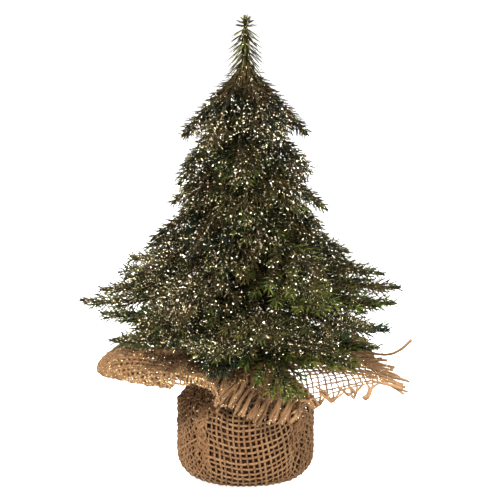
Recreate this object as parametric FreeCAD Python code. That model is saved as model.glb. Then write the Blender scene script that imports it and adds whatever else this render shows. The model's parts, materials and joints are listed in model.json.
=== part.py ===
"""Artificial tabletop tree, 200 mm tall: moulded plastic branch whorls threaded on a steel trunk wire.

The wire is cast into a cement weight in a plastic cup, and the cup stands in a square of jute cloth that is
tied at the neck and spreads above it as a collar. All sizes are in millimetres. +Z is up, and the origin is
the centre of the flat underside of the cloth. The front of the tree faces -Y.
"""

import FreeCAD
import Part
import math
import os

Vec = FreeCAD.Vector
UP = Vec(0, 0, 1)

# Jute cloth and the weight that it wraps
CLOTH = 1.6  # two yarns thick
SACK_R = 29.8
SACK_FOOT_R = 19.0  # radius of the flat underside
SACK_FOOT_ROUND = SACK_R - SACK_FOOT_R
FOOT_FOLDS = 12  # flattened folds round the underside
FOOT_FOLD_IN_R = 18.0  # from the axis to the middle of each fold's lower edge
FOOT_FOLD_RISE = math.radians(15)
SACK_SHOULDER_Z = 35.0
SHOULDER_MIDDLE = (26.9, 44.1)  # radius and height half way round the shoulder
SHOULDER_FACES = 41  # degrees above level, the way the shoulder's middle faces
NECK_R = 16.0
NECK_LOW_Z = 48.0
NECK_TOP_Z = 53.0
NECK_INSIDE_DROP = 0.6  # the shoulder meets the neck this much lower on the inside
WRAP_GAP = 0.1  # between the cloth and the cup
CUP_WALL = 1.2
CUP_TOP_Z = 35.0
CEMENT_TOP_Z = 33.0
TIE_R = 0.8
TIE_Z = 49.6
TIE_TAIL = 7.0
TIE_TAIL_R = 1.0
TIE_GAP = 0.15

# Trunk
WIRE_R = 1.25
WIRE_TOP_Z = 192.0
WIRE_FOOT_Z = 12.0
WIRE_FOOT_BEND = 4.0
WIRE_FOOT_LENGTH = 8.0
TURNING_GAP = 0.05  # radial clearance of a whorl on the wire
PRESS_GAP = 0.02
SPACER_R = 2.3
STACK_GAP = 0.1  # axial play beside each hub

# Whorls: one hub with arms, and side shoots on each arm
HUB_R = 3.8
HUB_HEIGHT = 5.0
ARM_ROOT_R = 2.7  # where an arm's centreline starts, inside the hub's wall
ARM_R = 0.95
SHOOT_R = 0.68
TIP_CONE = 2.2
TIP_CONE_ROOT = 0.98  # radius at the cone's two ends as a share of the arm's
TIP_CONE_END = 0.25
TIP_OVERLAP = 0.4  # the cone starts this far inside the bar
SHOOT_TIP_R = 0.3

# hub height, arms, arm length, angle at the hub and at the tip (degrees, negative is down),
# first arm's azimuth
WHORLS = [
    (176.5, 6, 38.5, -51, -47, -2.5),
    (165.0, 6, 44.0, -57, -44, 26),
    (153.5, 7, 48.0, -58, -40, 8),
    (142.0, 7, 53.0, -58, -32, -24),
    (130.5, 7, 58.0, -54, -19, 2),
    (119.5, 7, 65.0, -50, -5, -10),
    (108.0, 7, 70.0, -44, 5, -12),
    (96.0, 8, 72.0, -38, 6, 1),
    (84.0, 8, 67.0, -33, 6, -11),
    (71.5, 8, 58.0, -25, -9, 13),
]
# Arms of the lowest whorl that lie over the cloth's left lobe or hang over its front: length, two angles,
# azimuth
CLOTH_ARMS = {
    3: (54.0, -15, -2, 150),
    4: (56.0, -15, -2, 194),
    5: (37.0, -26, -34, -113),
    6: (50.0, -10, -54, -67),
}
# along the arm, side shoot's length as a share of the arm's, angle off the arm (degrees)
SIDE_SHOOTS = [(0.15, 0.30, 50), (0.34, 0.38, 44), (0.54, 0.32, 38), (0.75, 0.22, 34)]
ARM_LENGTH_SWING = 0.05  # arms of one whorl differ in length by this share
ARM_TURN_SWING = math.radians(5)
SHOOT_LENGTH_SWING = 0.08
SHOOT_STAGGER = 0.022  # left and right shoots leave this share of the arm's length before and after

# Tip cap
CAP_LOW_Z = 179.2
CAP_SHOULDER_Z = 192.8
CAP_NECK_Z = 195.0
CAP_TOP_Z = 200.0
CAP_POINT = 2.0
CAP_R = 1.75
CAP_NECK_R = 0.75
# height, needles, needle length, rise (degrees)
CAP_NEEDLES = [(195.6, 5, 4.4, 4), (197.0, 5, 3.5, 12)]
CAP_NEEDLE_R = 0.3
CAP_NEEDLE_TIP_R = 0.12
CAP_NEEDLE_ROOT_R = 0.55

# Collar: where its rim runs. Azimuth, rim radius, rim height, rise on the way, and how far the folded cloth
# puffs up and down half way out (mm)
COLLAR_RIM = [
    (-80, 36.5, 31.0, 0.0, 0.0),
    (-54, 44.0, 32.0, 0.0, 0.0),
    (-26, 74.0, 44.5, 1.0, 0.0),
    (6, 61.0, 50.5, 1.0, 0.0),
    (50, 63.0, 49.0, 1.0, 0.0),
    (85, 46.0, 52.0, 0.5, 0.0),
    (118, 60.0, 49.0, 1.0, 0.0),
    (150, 50.0, 52.0, 2.5, 1.0),
    (192, 63.5, 48.0, 4.6, 3.8),
    (232, 50.0, 43.0, 1.0, 0.0),
    (256, 36.0, 35.0, 0.0, 0.0),
]
COLLAR_STEPS = 7  # from the neck to the rim
COLLAR_SPREAD = 1.5  # over 1, the collar spreads fastest at the neck
COLLAR_FALL = 1.4  # over 1, the collar falls more and more steeply towards its rim
COLLAR_THINNING = 0.75  # how much of the thickness a steep part turns outwards
PUFF_ROUNDING = 0.8  # under 1, a puffed lobe is blunt towards its rim
COLLAR_AROUND = 64


def revolved(points, arcs=()):
    """A solid turned about Z from a closed outline of (r, z) corners. arcs maps a corner's index to the
    middle point of the arc that replaces the straight side after it."""
    arcs = dict(arcs)
    edges = []
    for i, (r, z) in enumerate(points):
        r2, z2 = points[(i + 1) % len(points)]
        a, b = Vec(r, 0, z), Vec(r2, 0, z2)
        if i in arcs:
            rm, zm = arcs[i]
            edges.append(Part.Arc(a, Vec(rm, 0, zm), b).toShape())
        else:
            edges.append(Part.makeLine(a, b))
    return Part.Face(Part.Wire(edges)).revolve(Vec(0, 0, 0), UP, 360)


def arc_middle(centre, radius, angle):
    """The point at an angle (degrees) on a circle in the (r, z) plane."""
    a = math.radians(angle)
    return centre[0] + radius * math.cos(a), centre[1] + radius * math.sin(a)


def tube_on_arc(start, middle, end, radius):
    """A round bar whose centreline is the arc through three points."""
    circle = Part.Arc(start, middle, end).toShape()
    curve = circle.Curve
    first = circle.valueAt(circle.FirstParameter)
    section = Part.Face(Part.Wire(Part.makeCircle(radius, first, circle.tangentAt(circle.FirstParameter))))
    turn = math.degrees(circle.LastParameter - circle.FirstParameter)
    return section.revolve(curve.Center, curve.Axis, turn)


def end_cone(start, middle, end, radius):
    """The pointed end of a bar on the arc through three points."""
    circle = Part.Arc(start, middle, end).toShape()
    direction = circle.tangentAt(circle.LastParameter)
    root = end - direction * TIP_OVERLAP
    return Part.makeCone(TIP_CONE_ROOT * radius, TIP_CONE_END * radius, TIP_CONE, root, direction)


class Profile:
    """The arc that a whorl's arms follow, as height against radius."""

    def __init__(self, hub_z, length, leave, reach):
        self.z, self.length = hub_z, length
        self.leave, self.turn = math.radians(leave), math.radians(reach - leave)

    def along(self, s):
        """Radius and height at a distance s along the arc."""
        size, angle = self.length / self.turn, self.leave + self.turn * s / self.length
        return (
            ARM_ROOT_R + size * (math.sin(angle) - math.sin(self.leave)),
            self.z - size * (math.cos(angle) - math.cos(self.leave)),
        )

    def slope(self, s):
        return self.leave + self.turn * s / self.length

    def height(self, r):
        """Height of the arc, or of its circle further out, at a radius."""
        size = self.length / self.turn
        sine = math.sin(self.leave) + (r - ARM_ROOT_R) / size
        return self.z - size * (math.sqrt(max(0.0, 1 - sine * sine)) - math.cos(self.leave))

    def point(self, s, azimuth):
        r, z = self.along(s)
        return Vec(r * math.cos(azimuth), r * math.sin(azimuth), z)

    def settled(self, p):
        """A point moved up or down onto the surface that the arc sweeps."""
        return Vec(p.x, p.y, self.height(math.hypot(p.x, p.y)))


def arms_of(number, whorl):
    """Each arm of a whorl: (start, middle, end) of its arc, and its side shoots as (root, end)."""
    hub_z, count, length, leave, reach, first = whorl
    for i in range(count):
        profile = Profile(hub_z, length, leave, reach)
        wave = math.sin(2.4 * i + 1.7 * number)
        azimuth = math.radians(first + 360 * i / count) + ARM_TURN_SWING * math.cos(1.9 * i + number)
        span = length * (1 - ARM_LENGTH_SWING * (1 + wave))
        if number == len(WHORLS) and i in CLOTH_ARMS:
            span, leaves_at, reaches_at, turned = CLOTH_ARMS[i]
            profile = Profile(hub_z, span, leaves_at, reaches_at)
            azimuth = math.radians(turned)
        arc = [profile.point(share * span, azimuth) for share in (0, 0.5, 1)]
        shoots = []
        side = Vec(-math.sin(azimuth), math.cos(azimuth), 0)
        for along, share, angle in SIDE_SHOOTS:
            for hand in (1, -1):
                leaves = (along + hand * SHOOT_STAGGER) * span
                root = profile.point(leaves, azimuth)
                slope = profile.slope(leaves)
                flat = math.cos(slope)
                ahead = Vec(flat * math.cos(azimuth), flat * math.sin(azimuth), math.sin(slope))
                reach_out = share * span * (1 + SHOOT_LENGTH_SWING * hand * wave)
                turn = math.radians(angle)
                end = root + (ahead * math.cos(turn) + side * hand * math.sin(turn)) * reach_out
                shoots.append((root, profile.settled(end)))
        yield arc, shoots


def whorl_solid(number, whorl):
    hub_z = whorl[0]
    low = Vec(0, 0, hub_z - HUB_HEIGHT / 2)
    bars = []
    for arc, shoots in arms_of(number, whorl):
        bars.append(tube_on_arc(*arc, ARM_R))
        bars.append(end_cone(*arc, ARM_R))
        for root, end in shoots:
            bars.append(Part.makeCone(SHOOT_R, SHOOT_TIP_R, root.distanceToPoint(end), root, end - root))
    body = Part.makeCylinder(HUB_R, HUB_HEIGHT, low).multiFuse(bars)
    bore = Part.makeCylinder(WIRE_R + TURNING_GAP, HUB_HEIGHT + 2, low - UP)
    return body.cut(bore)


def spacer_solid(low, high):
    outside = Part.makeCylinder(SPACER_R, high - low, Vec(0, 0, low))
    return outside.cut(Part.makeCylinder(WIRE_R + PRESS_GAP, high - low, Vec(0, 0, low)))


def trunk_wire():
    """The steel wire, bent at its foot so that it can't turn or pull out of the cement."""
    bend_end = Vec(WIRE_FOOT_BEND, 0, WIRE_FOOT_Z)
    bend_top = Vec(0, 0, WIRE_FOOT_Z + WIRE_FOOT_BEND)
    k = WIRE_FOOT_BEND * (1 - math.sqrt(0.5))
    straight = Part.makeCylinder(WIRE_R, WIRE_TOP_Z - bend_top.z, bend_top)
    elbow = tube_on_arc(bend_top, Vec(k, 0, WIRE_FOOT_Z + k), bend_end, WIRE_R)
    foot = Part.makeCylinder(WIRE_R, WIRE_FOOT_LENGTH, bend_end, Vec(1, 0, 0))
    return straight.fuse(elbow).fuse(foot)


def foot_corner(inset):
    """Centre and radius of the round at the bottom of a shell this far inside the cloth's outside."""
    return (SACK_FOOT_R, SACK_FOOT_ROUND), SACK_FOOT_ROUND - inset


def cup_solid():
    """Thin plastic cup with a round bottom edge."""
    inset = CLOTH + WRAP_GAP
    centre, outer = foot_corner(inset)
    inner = outer - CUP_WALL
    wall = SACK_R - inset
    outline = [
        (0, inset),
        (SACK_FOOT_R, inset),
        (wall, SACK_FOOT_ROUND),
        (wall, CUP_TOP_Z),
        (wall - CUP_WALL, CUP_TOP_Z),
        (wall - CUP_WALL, SACK_FOOT_ROUND),
        (SACK_FOOT_R, inset + CUP_WALL),
        (0, inset + CUP_WALL),
    ]
    return revolved(outline, {1: arc_middle(centre, outer, -45), 5: arc_middle(centre, inner, -45)})


def cement_solid(wire):
    inset = CLOTH + WRAP_GAP + CUP_WALL
    centre, outer = foot_corner(inset)
    wall = SACK_R - inset
    outline = [
        (0, inset),
        (SACK_FOOT_R, inset),
        (wall, SACK_FOOT_ROUND),
        (wall, CEMENT_TOP_Z),
        (0, CEMENT_TOP_Z),
    ]
    return revolved(outline, {1: arc_middle(centre, outer, -45)}).cut(wire)


def fold_corners(z):
    """The outline that the flattened folds leave round the foot, at a height."""
    inside = FOOT_FOLD_IN_R + z / math.tan(FOOT_FOLD_RISE)
    corner_r = inside / math.cos(math.pi / FOOT_FOLDS)
    angles = [2 * math.pi * i / FOOT_FOLDS for i in range(FOOT_FOLDS + 1)]
    return Part.makePolygon([Vec(corner_r * math.cos(a), corner_r * math.sin(a), z) for a in angles])


def sack_body():
    """The cloth from its underside up to the neck: a turned shell whose foot is flattened into folds."""
    centre, outer = foot_corner(0)
    inner = outer - CLOTH
    outline = [
        (0, 0),
        (SACK_FOOT_R, 0),
        (SACK_R, SACK_FOOT_ROUND),
        (SACK_R, SACK_SHOULDER_Z),
        (NECK_R, NECK_LOW_Z),
        (NECK_R, NECK_TOP_Z),
        (NECK_R - CLOTH, NECK_TOP_Z),
        (NECK_R - CLOTH, NECK_LOW_Z - NECK_INSIDE_DROP),
        (SACK_R - CLOTH, SACK_SHOULDER_Z),
        (SACK_R - CLOTH, SACK_FOOT_ROUND),
        (SACK_FOOT_R, CLOTH),
        (0, CLOTH),
    ]
    arcs = {
        1: arc_middle(centre, outer, -45),
        3: SHOULDER_MIDDLE,
        7: arc_middle(SHOULDER_MIDDLE, -CLOTH, SHOULDER_FACES),
        9: arc_middle(centre, inner, -45),
    }
    funnel = Part.makeLoft([fold_corners(0), fold_corners(NECK_TOP_Z + CLOTH)], True, True)
    return revolved(outline, arcs).common(funnel)


def rim_at(azimuth):
    """Rim radius, rim height, rise and puff at an azimuth, smoothly between the listed ones."""
    listed = COLLAR_RIM + [(COLLAR_RIM[0][0] + 360, *COLLAR_RIM[0][1:])]
    a = (azimuth - listed[0][0]) % 360 + listed[0][0]
    for before, after in zip(listed, listed[1:]):
        if before[0] <= a <= after[0]:
            t = (a - before[0]) / (after[0] - before[0])
            t = t * t * (3 - 2 * t)
            return [p + (q - p) * t for p, q in zip(before[1:], after[1:])]
    raise ValueError(azimuth)


def collar_point(azimuth, t, lift):
    """A point of the collar from the neck, t 0, to the rim, t 1. lift is half the cloth, up or down."""
    radius, height, rise, puff = rim_at(azimuth)
    start = NECK_R - CLOTH / 2
    r = start + (radius - start) * (1 - (1 - t) ** COLLAR_SPREAD)
    z = NECK_TOP_Z + rise * math.sin(math.pi * t) + (height - NECK_TOP_Z) * t**COLLAR_FALL
    a = math.radians(azimuth)
    # The drooping front turns down, so there the thickness points outwards as well as up
    steep = min(1.0, max(0.0, (NECK_TOP_Z - height) / (radius - start))) * t
    out = lift * steep
    up = lift * math.sqrt(1 - steep * steep * COLLAR_THINNING)
    up += math.copysign(puff * max(0.0, math.sin(math.pi * t)) ** PUFF_ROUNDING, lift)
    return Vec((r + out) * math.cos(a), (r + out) * math.sin(a), z + up)


def collar_surface(lift):
    grid = [
        [collar_point(360 * i / COLLAR_AROUND, j / COLLAR_STEPS, lift) for j in range(COLLAR_STEPS + 1)]
        for i in range(COLLAR_AROUND + 1)
    ]
    surface = Part.BSplineSurface()
    surface.interpolate(grid)
    return surface


def collar_solid():
    """The spread collar: an upper and a lower face, closed at the neck and at the rim."""
    top, bottom = collar_surface(CLOTH / 2), collar_surface(-CLOTH / 2)
    faces = [top.toShape(), bottom.toShape()]
    for upper, lower in ((top.vIso(0), bottom.vIso(0)), (top.vIso(1), bottom.vIso(1))):
        faces.append(Part.makeRuledSurface(upper.toShape(), lower.toShape()))
    shell = Part.makeShell(faces)
    shell.sewShape()
    solid = Part.makeSolid(shell)
    if solid.Volume < 0:
        solid.reverse()
    return solid


def neck_tie():
    """Wire twisted shut round the neck: a ring, and a short tail that points back under the collar."""
    ring_r = NECK_R + TIE_R + TIE_GAP
    ring = Part.makeTorus(ring_r, TIE_R, Vec(0, 0, TIE_Z))
    tail = Part.makeCylinder(TIE_TAIL_R, TIE_TAIL, Vec(0, ring_r, TIE_Z), Vec(0, 1, 0))
    return ring.fuse(tail)


def cap_needle(z, azimuth, length, rise):
    """A needle that starts just inside the neck's skin, so needles don't meet each other on the axis."""
    direction = Vec(math.cos(rise) * math.cos(azimuth), math.cos(rise) * math.sin(azimuth), math.sin(rise))
    root = Vec(CAP_NEEDLE_ROOT_R * math.cos(azimuth), CAP_NEEDLE_ROOT_R * math.sin(azimuth), z)
    return Part.makeCone(CAP_NEEDLE_R, CAP_NEEDLE_TIP_R, length, root, direction)


def tip_cap():
    """The moulded cap pressed on the wire's end, with its crown of short needles."""
    outline = [
        (0, CAP_LOW_Z),
        (CAP_R, CAP_LOW_Z),
        (CAP_R, CAP_SHOULDER_Z),
        (CAP_NECK_R, CAP_NECK_Z),
        (CAP_NECK_R, CAP_TOP_Z - CAP_POINT),
        (CAP_NEEDLE_TIP_R, CAP_TOP_Z),
        (0, CAP_TOP_Z),
    ]
    needles = []
    for level, (z, count, length, rise) in enumerate(CAP_NEEDLES):
        for i in range(count):
            azimuth = 2 * math.pi * (i + 0.5 * level) / count
            needles.append(cap_needle(z, azimuth, length, math.radians(rise)))
    body = revolved(outline).multiFuse(needles)
    socket = Part.makeCylinder(WIRE_R + PRESS_GAP, WIRE_TOP_Z - CAP_LOW_Z, Vec(0, 0, CAP_LOW_Z))
    return body.cut(socket)


def export(name, shape):
    solids = shape.Solids
    if len(solids) != 1 or not solids[0].isValid() or solids[0].Volume <= 0:
        raise RuntimeError(f"{name} isn't one valid solid")
    solids[0].exportStep(os.path.join("parts", f"{name}.step"))
    print(f"{name}: {solids[0].Volume:.0f} mm3")


def main():
    os.makedirs("parts", exist_ok=True)
    wire = trunk_wire()
    export("trunk_wire", wire)
    export("base_cup", cup_solid())
    export("cement_weight", cement_solid(wire))
    export("jute_wrap", sack_body().fuse(collar_solid()))
    export("neck_tie", neck_tie())
    export("tip_cap", tip_cap())
    for number, whorl in enumerate(WHORLS, 1):
        export(f"whorl_{number:02d}", whorl_solid(number, whorl))
        top = whorl[0] - HUB_HEIGHT / 2 - STACK_GAP
        below = WHORLS[number][0] + HUB_HEIGHT / 2 + STACK_GAP if number < len(WHORLS) else CEMENT_TOP_Z
        export(f"spacer_{number:02d}", spacer_solid(below, top))


main()
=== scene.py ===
"""Looks for the artificial tabletop tree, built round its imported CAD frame.

The CAD keeps the trunk, the weight and the bare arms of each whorl. This script covers the arms with needles
and glitter, and drapes a woven square of jute round the weight in place of the CAD's plain shell. Shapes are
worked out in millimetres, and mesh_piece turns them into Blender's metres.
"""

import json
import math

import bpy
import numpy as np
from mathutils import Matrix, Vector
from mathutils.bvhtree import BVHTree
from mathutils.kdtree import KDTree


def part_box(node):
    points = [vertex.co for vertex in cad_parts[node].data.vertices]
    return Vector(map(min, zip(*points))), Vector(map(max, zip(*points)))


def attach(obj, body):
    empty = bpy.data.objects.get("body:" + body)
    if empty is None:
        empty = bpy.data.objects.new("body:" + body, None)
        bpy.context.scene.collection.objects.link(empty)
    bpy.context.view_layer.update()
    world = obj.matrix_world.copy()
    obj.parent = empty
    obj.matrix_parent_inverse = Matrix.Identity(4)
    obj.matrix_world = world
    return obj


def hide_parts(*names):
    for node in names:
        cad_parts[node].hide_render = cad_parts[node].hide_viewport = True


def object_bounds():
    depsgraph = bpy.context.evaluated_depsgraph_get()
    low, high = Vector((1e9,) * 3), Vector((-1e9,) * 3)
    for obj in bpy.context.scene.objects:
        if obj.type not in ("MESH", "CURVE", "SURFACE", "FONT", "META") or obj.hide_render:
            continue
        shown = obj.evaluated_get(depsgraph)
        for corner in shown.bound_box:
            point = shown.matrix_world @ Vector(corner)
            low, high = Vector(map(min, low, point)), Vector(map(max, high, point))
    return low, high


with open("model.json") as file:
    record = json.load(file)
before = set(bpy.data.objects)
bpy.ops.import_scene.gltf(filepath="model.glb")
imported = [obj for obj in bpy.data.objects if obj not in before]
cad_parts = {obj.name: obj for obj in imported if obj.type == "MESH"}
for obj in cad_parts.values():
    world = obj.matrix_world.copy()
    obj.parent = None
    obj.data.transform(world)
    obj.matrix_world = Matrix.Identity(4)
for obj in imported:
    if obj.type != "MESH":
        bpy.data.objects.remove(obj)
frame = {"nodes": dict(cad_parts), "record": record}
CAD_BOX = [list(corner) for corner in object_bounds()]

MM = 0.001
UP = np.array([0.0, 0.0, 1.0])

# Arms of each whorl, top one first, as part.py makes them: how many, length, angle at the hub and at the tip
# (degrees), first arm's azimuth (degrees)
ARMS = [
    (6, 38.5, -51, -47, -2.5),
    (6, 44.0, -57, -44, 26),
    (7, 48.0, -58, -40, 8),
    (7, 53.0, -58, -32, -24),
    (7, 58.0, -54, -19, 2),
    (7, 65.0, -50, -5, -10),
    (7, 70.0, -44, 5, -12),
    (8, 72.0, -38, 6, 1),
    (8, 67.0, -33, 6, -11),
    (8, 58.0, -25, -9, 13),
]
# Arms of the lowest whorl that lie over the cloth: length, the two angles, azimuth
CLOTH_ARMS = {
    3: (54.0, -15, -2, 150),
    4: (56.0, -15, -2, 194),
    5: (37.0, -26, -34, -113),
    6: (50.0, -10, -54, -67),
}
SIDE_SHOOTS = [(0.15, 0.30, 50), (0.34, 0.38, 44), (0.54, 0.32, 38), (0.75, 0.22, 34)]
ARM_ROOT_R = 2.7
ARM_R = 0.95
SHOOT_R = 0.5
ARM_LENGTH_SWING = 0.05
ARM_TURN_SWING = math.radians(5)
SHOOT_LENGTH_SWING = 0.08
SHOOT_STAGGER = 0.022

# Needles, in mm. They stand in rings round a stem, each ring turned half way on from the last
RING_STEP = 1.95
RING_NEEDLES = 4
NEEDLE_LENGTH = 5.8
LENGTH_RANGE = (0.84, 1.14)  # of that length, from needle to needle
NEEDLE_HALF_WIDTH = 0.33
NEEDLE_HALF_DEPTH = 0.18
NEEDLE_LEAN = math.radians(52)  # off the stem at the needle's root
NEEDLE_LEAN_TIP = math.radians(40)  # and at its tip
NEEDLE_POINTS = 9  # four at the root, four at the waist and one at the tip, in that order
CLOSED = 0.84  # how far of their lean the needles at a stem's tip keep
CLOSING_LENGTH = 5.0
TAPER_FROM = 0.70  # the needles at a stem's tip are this much of their length
TAPER_SLOPE = 18.0  # and grow by one length in this distance, until they are whole
FLAKE_R = 0.25
WHORL_FLAKES = 3200
COLLAR_FLAKES = 2600
TIP_FLAKES = 160
INSIDE_R = 34.0  # towards the trunk from about here, needles get painted shade, darker the nearer they are to it, and hold less glitter

# The tip, in mm. Each level of its crown: height under the top, needles, length, rise (degrees)
CROWN = [(4.6, 8, 4.8, 4), (3.5, 8, 4.4, 18), (2.5, 6, 3.4, 42), (1.6, 3, 2.4, 78)]
CROWN_STOUT = 1.7  # times a usual needle's width
LEADER_UNDER = 5.9  # the leader's needles start this far under the top
LEADER_ROWS = 9
LEADER_ROW_NEEDLES = 10
LEADER_LEAN = (58, 41)  # degrees off the wire, at the top row and at the bottom row
LEADER_LENGTH = (7.2, 12.5)
LEADER_STOUT = 1.35

# Sprigs that aren't the usual dark olive: (whorl, arm) to how green, how blue, how much glitter, from 0 to 1
ODD_SPRIGS = {
    (10, 6): (1.0, 0.1, 0.10),
    (10, 5): (0.35, 1.0, 0.30),
    (10, 7): (0.75, 0.0, 0.35),
    (10, 0): (0.85, 0.0, 0.30),
    (9, 0): (0.10, 1.0, 0.10),
    (8, 0): (0.80, 0.0, 0.35),
    (9, 4): (0.60, 0.1, 0.50),
    (10, 4): (0.20, 0.7, 0.25),
}
ODD_PALE = 0.9  # how pale their needles are

# Jute, in mm
PITCH = 2.5
YARNS = 94  # each way
OFF_CENTRE = (-12.0, 12.0)  # the square lies this far off the weight's axis, so its left and back are longer
YARN_R = 0.45
THIN_YARN, THICK_YARN = 0.26, 0.80  # no yarn's radius goes beyond these
CROSSING = 0.30  # how far a yarn's middle rises or dips at a crossing
YARN_SIDES = 6
FRAY = 4  # cross yarns pulled out along the frayed edges
FRAY_FROM = 43  # the front edge is frayed from this yarn on, and the rest of it is tucked under
CLOTH_IN = 0.8  # the middle of the cloth lies this far inside the CAD shell's outside
GATHERED_AT = math.radians(-128)  # four gathers run up the sack, one quarter turn apart
PULLED_UP = 3.0  # how far the cloth rises at each gather, and falls between them
WANDER = 0.30  # how far a yarn strays sideways between its neighbours
GATHER = 0.72  # how much closer the upright yarns come in a gather, and further apart between
LOBES = np.radians([-166, -27, 49, 118])  # where the collar's four corners point
LOBE_SPREAD = 0.19
FLAP = LOBES[1]  # the corner that is spread flat as an open net
FOLD_R = 2.8  # of the roll where a corner is turned under
RAISED, RAISED_AT = 6.0, math.radians(-130)  # the left corner's near edge stands above the CAD shell
CROWDED = 0.70  # how much fuller the yarns are on the left corner, where the cloth is pushed together
THINNED = 0.18  # how much thinner they are on the open flap
STRAY_YARN = [(44, -5, 55.5), (50, -5.5, 56), (60, -8, 55.5), (66, -8, 57.5), (71, -8, 62)]  # a pulled yarn
SACK_FROM = 22.0  # how far from the cloth's middle the sack's side begins
DUSTY_FROM, DUSTY_TO = 82.0, 140.0  # how far from the cloth's middle the glitter in its yarns starts and thins
COLLAR_Z = 28.0  # the CAD shell is collar only above this height
TIE_THICK = 2.0
OVERHEAD = 90  # higher and further out than any of the cloth

# How the cloth settles
STEPS, QUICK_STEPS = 240, 60
DAMPING = 0.85  # how much of its speed a point keeps from step to step
SAG = 0.008
# How firmly each kind of link pulls when it is too short and when it is too long
STIFFNESS = {"yarn": (0.03, 0.42), "shear": (0.01, 0.05), "bend": (0.02, 0.14)}
TIE_HOLD = 0.2  # how far of the way back the tie pulls the neck in one step
COLLAR_HOLD = 0.07
TIE_HOLE_R = 6.0  # how near the trunk's axis the tie can squeeze the yarns
PASSES, QUICK_PASSES = 5, 2  # then layers that lie in each other are pushed apart
PUSH, MOST_PUSH = 0.2, 0.5  # by this share of their overlap from each other layer, in one pass, and no further


# ------------------------ materials


MIX_A, MIX_B, MIX_RESULT = 6, 7, 2  # the Mix node's colour sockets


def new_material(name):
    material = bpy.data.materials.new(name)
    material.use_nodes = True
    tree = material.node_tree
    return material, tree, tree.nodes["Principled BSDF"]


def feed(tree, made, inputs):
    """Sets a node's inputs to values, or joins them to other nodes' outputs."""
    for key, value in inputs.items():
        if isinstance(value, bpy.types.NodeSocket):
            tree.links.new(value, made.inputs[key])
        else:
            made.inputs[key].default_value = value


def node(tree, kind, inputs=None, **settings):
    """A shader node with its settings and inputs."""
    made = tree.nodes.new(kind)
    for key, value in settings.items():
        setattr(made, key, value)
    feed(tree, made, inputs or {})
    return made


def mixed(tree, factor, a, b):
    """The colour between a and b."""
    made = node(tree, "ShaderNodeMix", {"Factor": factor}, data_type="RGBA")
    first, second = (c if isinstance(c, bpy.types.NodeSocket) else (*c, 1) for c in (a, b))
    feed(tree, made, {MIX_A: first, MIX_B: second})
    return made.outputs[MIX_RESULT]


def sums(tree, operation, a, b):
    return node(tree, "ShaderNodeMath", {0: a, 1: b}, operation=operation).outputs[0]


def product(tree, a, b):
    return sums(tree, "MULTIPLY", a, b)


def ramp(tree, value, low, high):
    """0 where value is under low, 1 where it is over high."""
    return node(tree, "ShaderNodeMapRange", {"Value": value, "From Min": low, "From Max": high}).outputs[0]


def object_place(tree):
    return node(tree, "ShaderNodeTexCoord").outputs["Object"]


def noise(tree, place, scale, detail):
    return node(tree, "ShaderNodeTexNoise", {"Vector": place, "Scale": scale, "Detail": detail}).outputs[0]


def glitter_cells(tree, place, size_mm):
    """One random value and one random tilt for each flake-sized cell of the surface."""
    cells = node(tree, "ShaderNodeTexVoronoi", {"Vector": place, "Scale": 1 / (size_mm * MM)})
    split = node(tree, "ShaderNodeSeparateColor", {"Color": cells.outputs["Color"]})
    return split.outputs[0], cells.outputs["Color"]


def vector_sums(tree, operation, inputs):
    return node(tree, "ShaderNodeVectorMath", inputs, operation=operation).outputs[0]


def tilted_normal(tree, colour, amount):
    """The surface normal, tipped at random in each cell, so that each flake catches the light by itself."""
    normal = node(tree, "ShaderNodeNewGeometry").outputs["Normal"]
    centred = vector_sums(tree, "SUBTRACT", {0: colour, 1: (0.5, 0.5, 0.5)})
    push = vector_sums(tree, "SCALE", {0: centred, "Scale": amount})
    return vector_sums(tree, "NORMALIZE", {0: vector_sums(tree, "ADD", {0: normal, 1: push})})


def foliage_material():
    """Moulded needles: dark olive, greener at some sprigs' tips, with dust of champagne glitter, and painted
    shade that darkens the needles and their glitter towards the trunk.
    """
    material, tree, shader = new_material("needles")
    tint = node(tree, "ShaderNodeAttribute", attribute_name="tint")
    split = node(tree, "ShaderNodeSeparateColor", {"Color": tint.outputs["Color"]})
    chance, fresh, dusted = split.outputs[0], split.outputs[1], split.outputs[2]
    cool = sums(tree, "SUBTRACT", 1.0, tint.outputs["Alpha"])
    place = object_place(tree)
    patch = ramp(tree, noise(tree, place, 90.0, 2.0), 0.45, 0.68)
    # chance is random tone times painted shade towards the trunk, so it darkens the body and the glitter there
    dark = mixed(tree, chance, (0.0008, 0.0012, 0.0006), (0.062, 0.064, 0.0150))
    dark = mixed(tree, patch, dark, (0.030, 0.018, 0.0060))
    green = mixed(tree, chance, (0.022, 0.050, 0.005), (0.150, 0.175, 0.018))
    body = mixed(tree, fresh, dark, green)
    body = mixed(tree, product(tree, cool, 0.85), body, (0.004, 0.019, 0.015))
    value, colour = glitter_cells(tree, place, 0.52)
    flake = sums(tree, "LESS_THAN", value, product(tree, dusted, 0.17))
    gold = mixed(tree, chance, (0.46, 0.38, 0.16), (1.00, 0.90, 0.66))
    feed(tree, shader, {
        "Base Color": mixed(tree, flake, body, gold),
        "Metallic": product(tree, flake, 0.95),
        "Roughness": sums(tree, "SUBTRACT", 0.50, product(tree, flake, 0.24)),
        "Normal": tilted_normal(tree, colour, product(tree, flake, 1.9)),
        "Specular IOR Level": 0.03,
    })
    return material


def flake_material():
    """Loose glitter flakes: small bright champagne metal."""
    material, tree, shader = new_material("glitter_flakes")
    place = object_place(tree)
    value, _ = glitter_cells(tree, place, 1.0)
    gold = mixed(tree, value, (0.80, 0.66, 0.40), (1.00, 0.94, 0.80))
    feed(tree, shader, {"Base Color": gold, "Metallic": 1.0, "Roughness": 0.22})
    return material


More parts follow.
